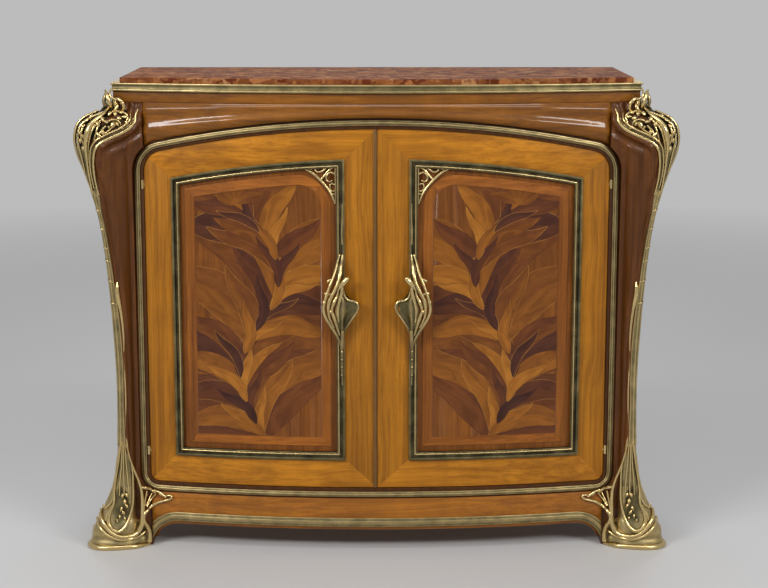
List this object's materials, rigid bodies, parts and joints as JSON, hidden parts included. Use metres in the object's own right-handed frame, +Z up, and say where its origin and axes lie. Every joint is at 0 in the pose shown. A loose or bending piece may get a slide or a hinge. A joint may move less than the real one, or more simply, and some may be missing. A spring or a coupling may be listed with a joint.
{
  "type": "two-door side cabinet",
  "caption": "Low bow-fronted side cabinet with arched doors, S-curved front posts clothed in cast brass mounts, brass mouldings, a bowed marble top and a shelf inside.",
  "frame": {"origin": "centre of the footprint on the floor: midway between the front posts in X and midway between the handles' fronts and the rear posts' backs in Y", "axes": "+X is the cabinet's right as seen by someone facing its doors, -Y is the front that the doors face, +Z is up"},
  "size_m": [1.372, 0.4696, 1.112],
  "materials": {
    "marble": "polished rosy breccia",
    "dark_wood": "french-polished mahogany",
    "inner_wood": "plain waxed wood",
    "door_wood": "polished figured veneer",
    "panel_wood": "polished inlaid veneer",
    "aged_brass": "aged, olive in the hollows",
    "gilt_mounts": "gilt, worn bright on the ridges",
    "hinge_brass": "satin",
    "lock_steel": "dull"
  },
  "bodies": {
    "carcass": {"marble_top": "marble", "cornice_moulding": "aged_brass", "frieze_band": "dark_wood", "top_board": "inner_wood", "door_frame_head": "dark_wood", "door_frame_sill": "dark_wood", "left_door_jamb": "dark_wood", "right_door_jamb": "dark_wood", "opening_moulding": "aged_brass", "frieze_rail": "inner_wood", "frieze_pillow": "dark_wood", "apron_rail": "dark_wood", "apron_moulding": "aged_brass", "left_front_post": "dark_wood", "right_front_post": "dark_wood", "left_capital": "gilt_mounts", "right_capital": "gilt_mounts", "left_corner_stem": "gilt_mounts", "right_corner_stem": "gilt_mounts", "left_sabot": "gilt_mounts", "right_sabot": "gilt_mounts", "left_rear_post": "dark_wood", "right_rear_post": "dark_wood", "left_side_rails": "dark_wood", "right_side_rails": "dark_wood", "left_side_panel": "dark_wood", "right_side_panel": "dark_wood", "back_rails": "inner_wood", "back_panel": "inner_wood", "bottom_board": "inner_wood", "shelf": "inner_wood", "shelf_bearers": "inner_wood", "frame_hinges": "hinge_brass"},
    "left_door": {"left_door_hinge_stile": "door_wood", "left_door_meeting_stile": "door_wood", "left_door_bottom_rail": "door_wood", "left_door_top_rail": "door_wood", "left_door_panel": "panel_wood", "left_door_panel_moulding": "aged_brass", "left_door_corner_bracket": "gilt_mounts", "left_door_handle": "gilt_mounts", "left_door_hinge_leaves": "hinge_brass", "left_door_meeting_bead": "aged_brass"},
    "right_door": {"right_door_hinge_stile": "door_wood", "right_door_meeting_stile": "door_wood", "right_door_bottom_rail": "door_wood", "right_door_top_rail": "door_wood", "right_door_panel": "panel_wood", "right_door_panel_moulding": "aged_brass", "right_door_corner_bracket": "gilt_mounts", "right_door_handle": "gilt_mounts", "right_door_hinge_leaves": "hinge_brass", "right_door_lock_case": "lock_steel"},
    "left_top_bolt": {"left_door_top_bolt": "hinge_brass"},
    "left_bottom_bolt": {"left_door_bottom_bolt": "hinge_brass"},
    "right_lock_bolt": {"right_door_lock_bolt": "lock_steel"}
  },
  "joints": [
    {"name": "right_door_hinge", "type": "hinge", "parent": "carcass", "child": "right_door", "pos_m": [0.5406, -0.13156, 0], "axis": [0, 0, 1], "range_deg": [0, 95]},
    {"name": "left_door_hinge", "type": "hinge", "parent": "carcass", "child": "left_door", "pos_m": [-0.5406, -0.13156, 0], "axis": [0, 0, -1], "range_deg": [0, 95]},
    {"name": "left_top_bolt_slide", "type": "slide", "parent": "left_door", "child": "left_top_bolt", "axis": [0, 0, 1], "range_m": [0, 0.012]},
    {"name": "left_bottom_bolt_slide", "type": "slide", "parent": "left_door", "child": "left_bottom_bolt", "axis": [0, 0, -1], "range_m": [0, 0.012]},
    {"name": "right_lock_bolt_slide", "type": "slide", "parent": "right_door", "child": "right_lock_bolt", "axis": [-1, 0, 0], "range_m": [0, 0.01]}
  ]
}
